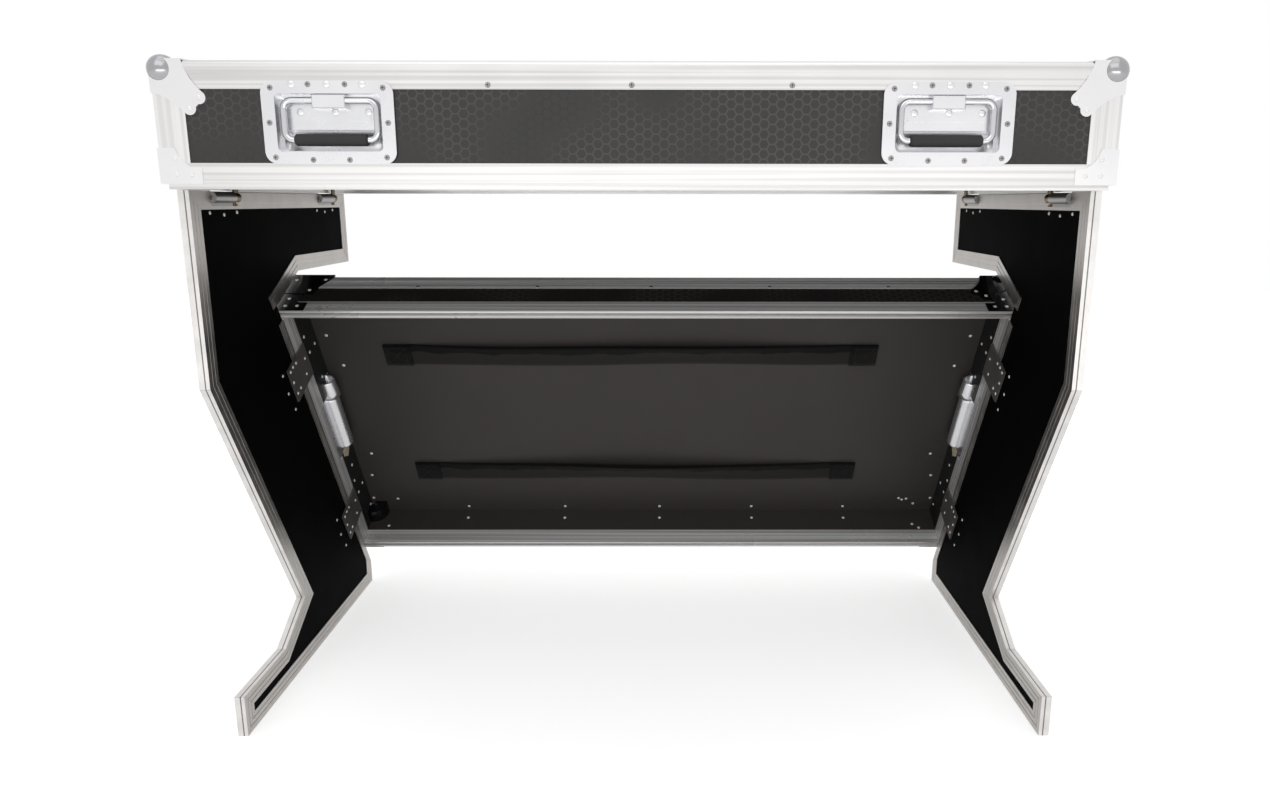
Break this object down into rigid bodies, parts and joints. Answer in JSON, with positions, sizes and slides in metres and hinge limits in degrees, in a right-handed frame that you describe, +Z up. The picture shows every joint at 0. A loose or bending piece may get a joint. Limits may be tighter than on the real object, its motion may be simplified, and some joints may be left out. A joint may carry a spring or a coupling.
{
  "type": "dj booth",
  "caption": "Flight-case style folding performer's table: railed tray on two folding Z-shaped side legs, with a leaning front shell that forms the other half of the closed case.",
  "frame": {"origin": "on the floor, under the middle of the overall box", "axes": "+X to the performer's right along the table, +Y from the performer to the audience, +Z up"},
  "size_m": [1.2254, 0.6492, 0.9607],
  "materials": {
    "aluminium_rail": "drawn, fine lengthwise lines",
    "black_laminate": "plywood faced with black hexagon-grain laminate",
    "bright_corner": "bright zinc plating",
    "black_steel": "gloss black",
    "zinc_plate": "pressed, zinc plated",
    "handle_bar": "bright plating",
    "grip_rubber": "matt",
    "wheel_rubber": "matt",
    "gunmetal": "dark nickel",
    "yellow_zinc": "yellow passivated",
    "bright_steel": "zinc plated",
    "webbing": "flat woven"
  },
  "bodies": {
    "tray": {"left_hinge_lugs": "yellow_zinc", "right_hinge_lugs": "yellow_zinc", "tray_ball_corners": "bright_corner", "tray_corner_posts": "aluminium_rail", "tray_deck": "black_laminate", "tray_deck_sheet": "black_laminate", "tray_edge_rails": "aluminium_rail", "tray_front_panel": "black_laminate", "tray_left_handle_clip": "zinc_plate", "tray_left_handle_dish": "zinc_plate", "tray_left_panel": "black_laminate", "tray_rear_panel": "black_laminate", "tray_right_handle_clip": "zinc_plate", "tray_right_handle_dish": "zinc_plate", "tray_right_panel": "black_laminate", "tray_rim_braces": "bright_corner", "tray_rim_rails": "aluminium_rail"},
    "left_leg": {"left_hinge_knuckles": "bright_steel", "left_hinge_pins": "bright_steel", "left_joint_plates": "gunmetal", "left_leg_edging": "aluminium_rail", "left_leg_panel": "black_laminate"},
    "right_leg": {"right_hinge_knuckles": "bright_steel", "right_hinge_pins": "bright_steel", "right_joint_plates": "gunmetal", "right_leg_edging": "aluminium_rail", "right_leg_panel": "black_laminate"},
    "shell": {"shell_back_panel": "black_laminate", "shell_back_rails": "aluminium_rail", "shell_ball_corners": "black_steel", "shell_bottom_panel": "black_laminate", "shell_corner_posts": "aluminium_rail", "shell_left_handle_clip": "zinc_plate", "shell_left_handle_dish": "zinc_plate", "shell_left_panel": "black_laminate", "shell_lower_strap": "webbing", "shell_right_handle_clip": "zinc_plate", "shell_right_handle_dish": "zinc_plate", "shell_right_panel": "black_laminate", "shell_rim_braces": "black_steel", "shell_rim_rails": "aluminium_rail", "shell_top_panel": "black_laminate", "shell_upper_strap": "webbing", "strap_anchors": "webbing", "tilt_wheel_axles": "bright_steel", "tilt_wheel_housings": "black_steel"},
    "tray_left_bail": {"tray_left_handle_bail": "handle_bar", "tray_left_handle_grip": "grip_rubber"},
    "tray_right_bail": {"tray_right_handle_bail": "handle_bar", "tray_right_handle_grip": "grip_rubber"},
    "shell_left_bail": {"shell_left_handle_bail": "handle_bar", "shell_left_handle_grip": "grip_rubber"},
    "shell_right_bail": {"shell_right_handle_bail": "handle_bar", "shell_right_handle_grip": "grip_rubber"},
    "upper_wheel": {"upper_tilt_wheel": "wheel_rubber"},
    "lower_wheel": {"lower_tilt_wheel": "wheel_rubber"}
  },
  "joints": [
    {"name": "shell_pull", "type": "slide", "parent": "tray", "child": "shell", "axis": [0, 1, 0], "range_m": [0, 0.75]},
    {"name": "left_leg_fold", "type": "hinge", "parent": "tray", "child": "left_leg", "pos_m": [-0.59, 0, 0.7871], "axis": [0, -1, 0], "range_deg": [0, 90]},
    {"name": "right_leg_fold", "type": "hinge", "parent": "tray", "child": "right_leg", "pos_m": [0.59, 0, 0.7871], "axis": [0, 1, 0], "range_deg": [0, 72]},
    {"name": "tray_left_bail_swing", "type": "hinge", "parent": "tray", "child": "tray_left_bail", "pos_m": [-0.388, -0.31138, 0.9053], "axis": [-1, 0, 0], "range_deg": [0, 90], "stiffness_Nm_per_rad": 0.6, "springref_deg": -22.92},
    {"name": "tray_right_bail_swing", "type": "hinge", "parent": "tray", "child": "tray_right_bail", "pos_m": [0.388, -0.31138, 0.9053], "axis": [-1, 0, 0], "range_deg": [0, 90], "stiffness_Nm_per_rad": 0.6, "springref_deg": -22.92},
    {"name": "shell_left_bail_swing", "type": "hinge", "parent": "shell", "child": "shell_left_bail", "pos_m": [-0.5995, 0.11548, 0.3612], "axis": [0, -0.4833, 0.8755], "range_deg": [0, 90], "stiffness_Nm_per_rad": 0.6, "springref_deg": -22.92},
    {"name": "shell_right_bail_swing", "type": "hinge", "parent": "shell", "child": "shell_right_bail", "pos_m": [0.5995, 0.11548, 0.3612], "axis": [0, 0.4833, -0.8755], "range_deg": [0, 90], "stiffness_Nm_per_rad": 0.6, "springref_deg": -22.92},
    {"name": "upper_wheel_spin", "type": "hinge", "parent": "shell", "child": "upper_wheel", "pos_m": [-0.5865, 0.0285, 0.62387], "axis": [0, 0.4833, -0.8755], "continuous": true},
    {"name": "lower_wheel_spin", "type": "hinge", "parent": "shell", "child": "lower_wheel", "pos_m": [-0.5865, 0.29141, 0.14762], "axis": [0, 0.4833, -0.8755], "continuous": true}
  ],
  "couplings": [
    {"joint": "left_leg_fold", "follows": "shell_pull", "rad_per_m": 2.0944},
    {"joint": "right_leg_fold", "follows": "shell_pull", "rad_per_m": 1.6755}
  ]
}
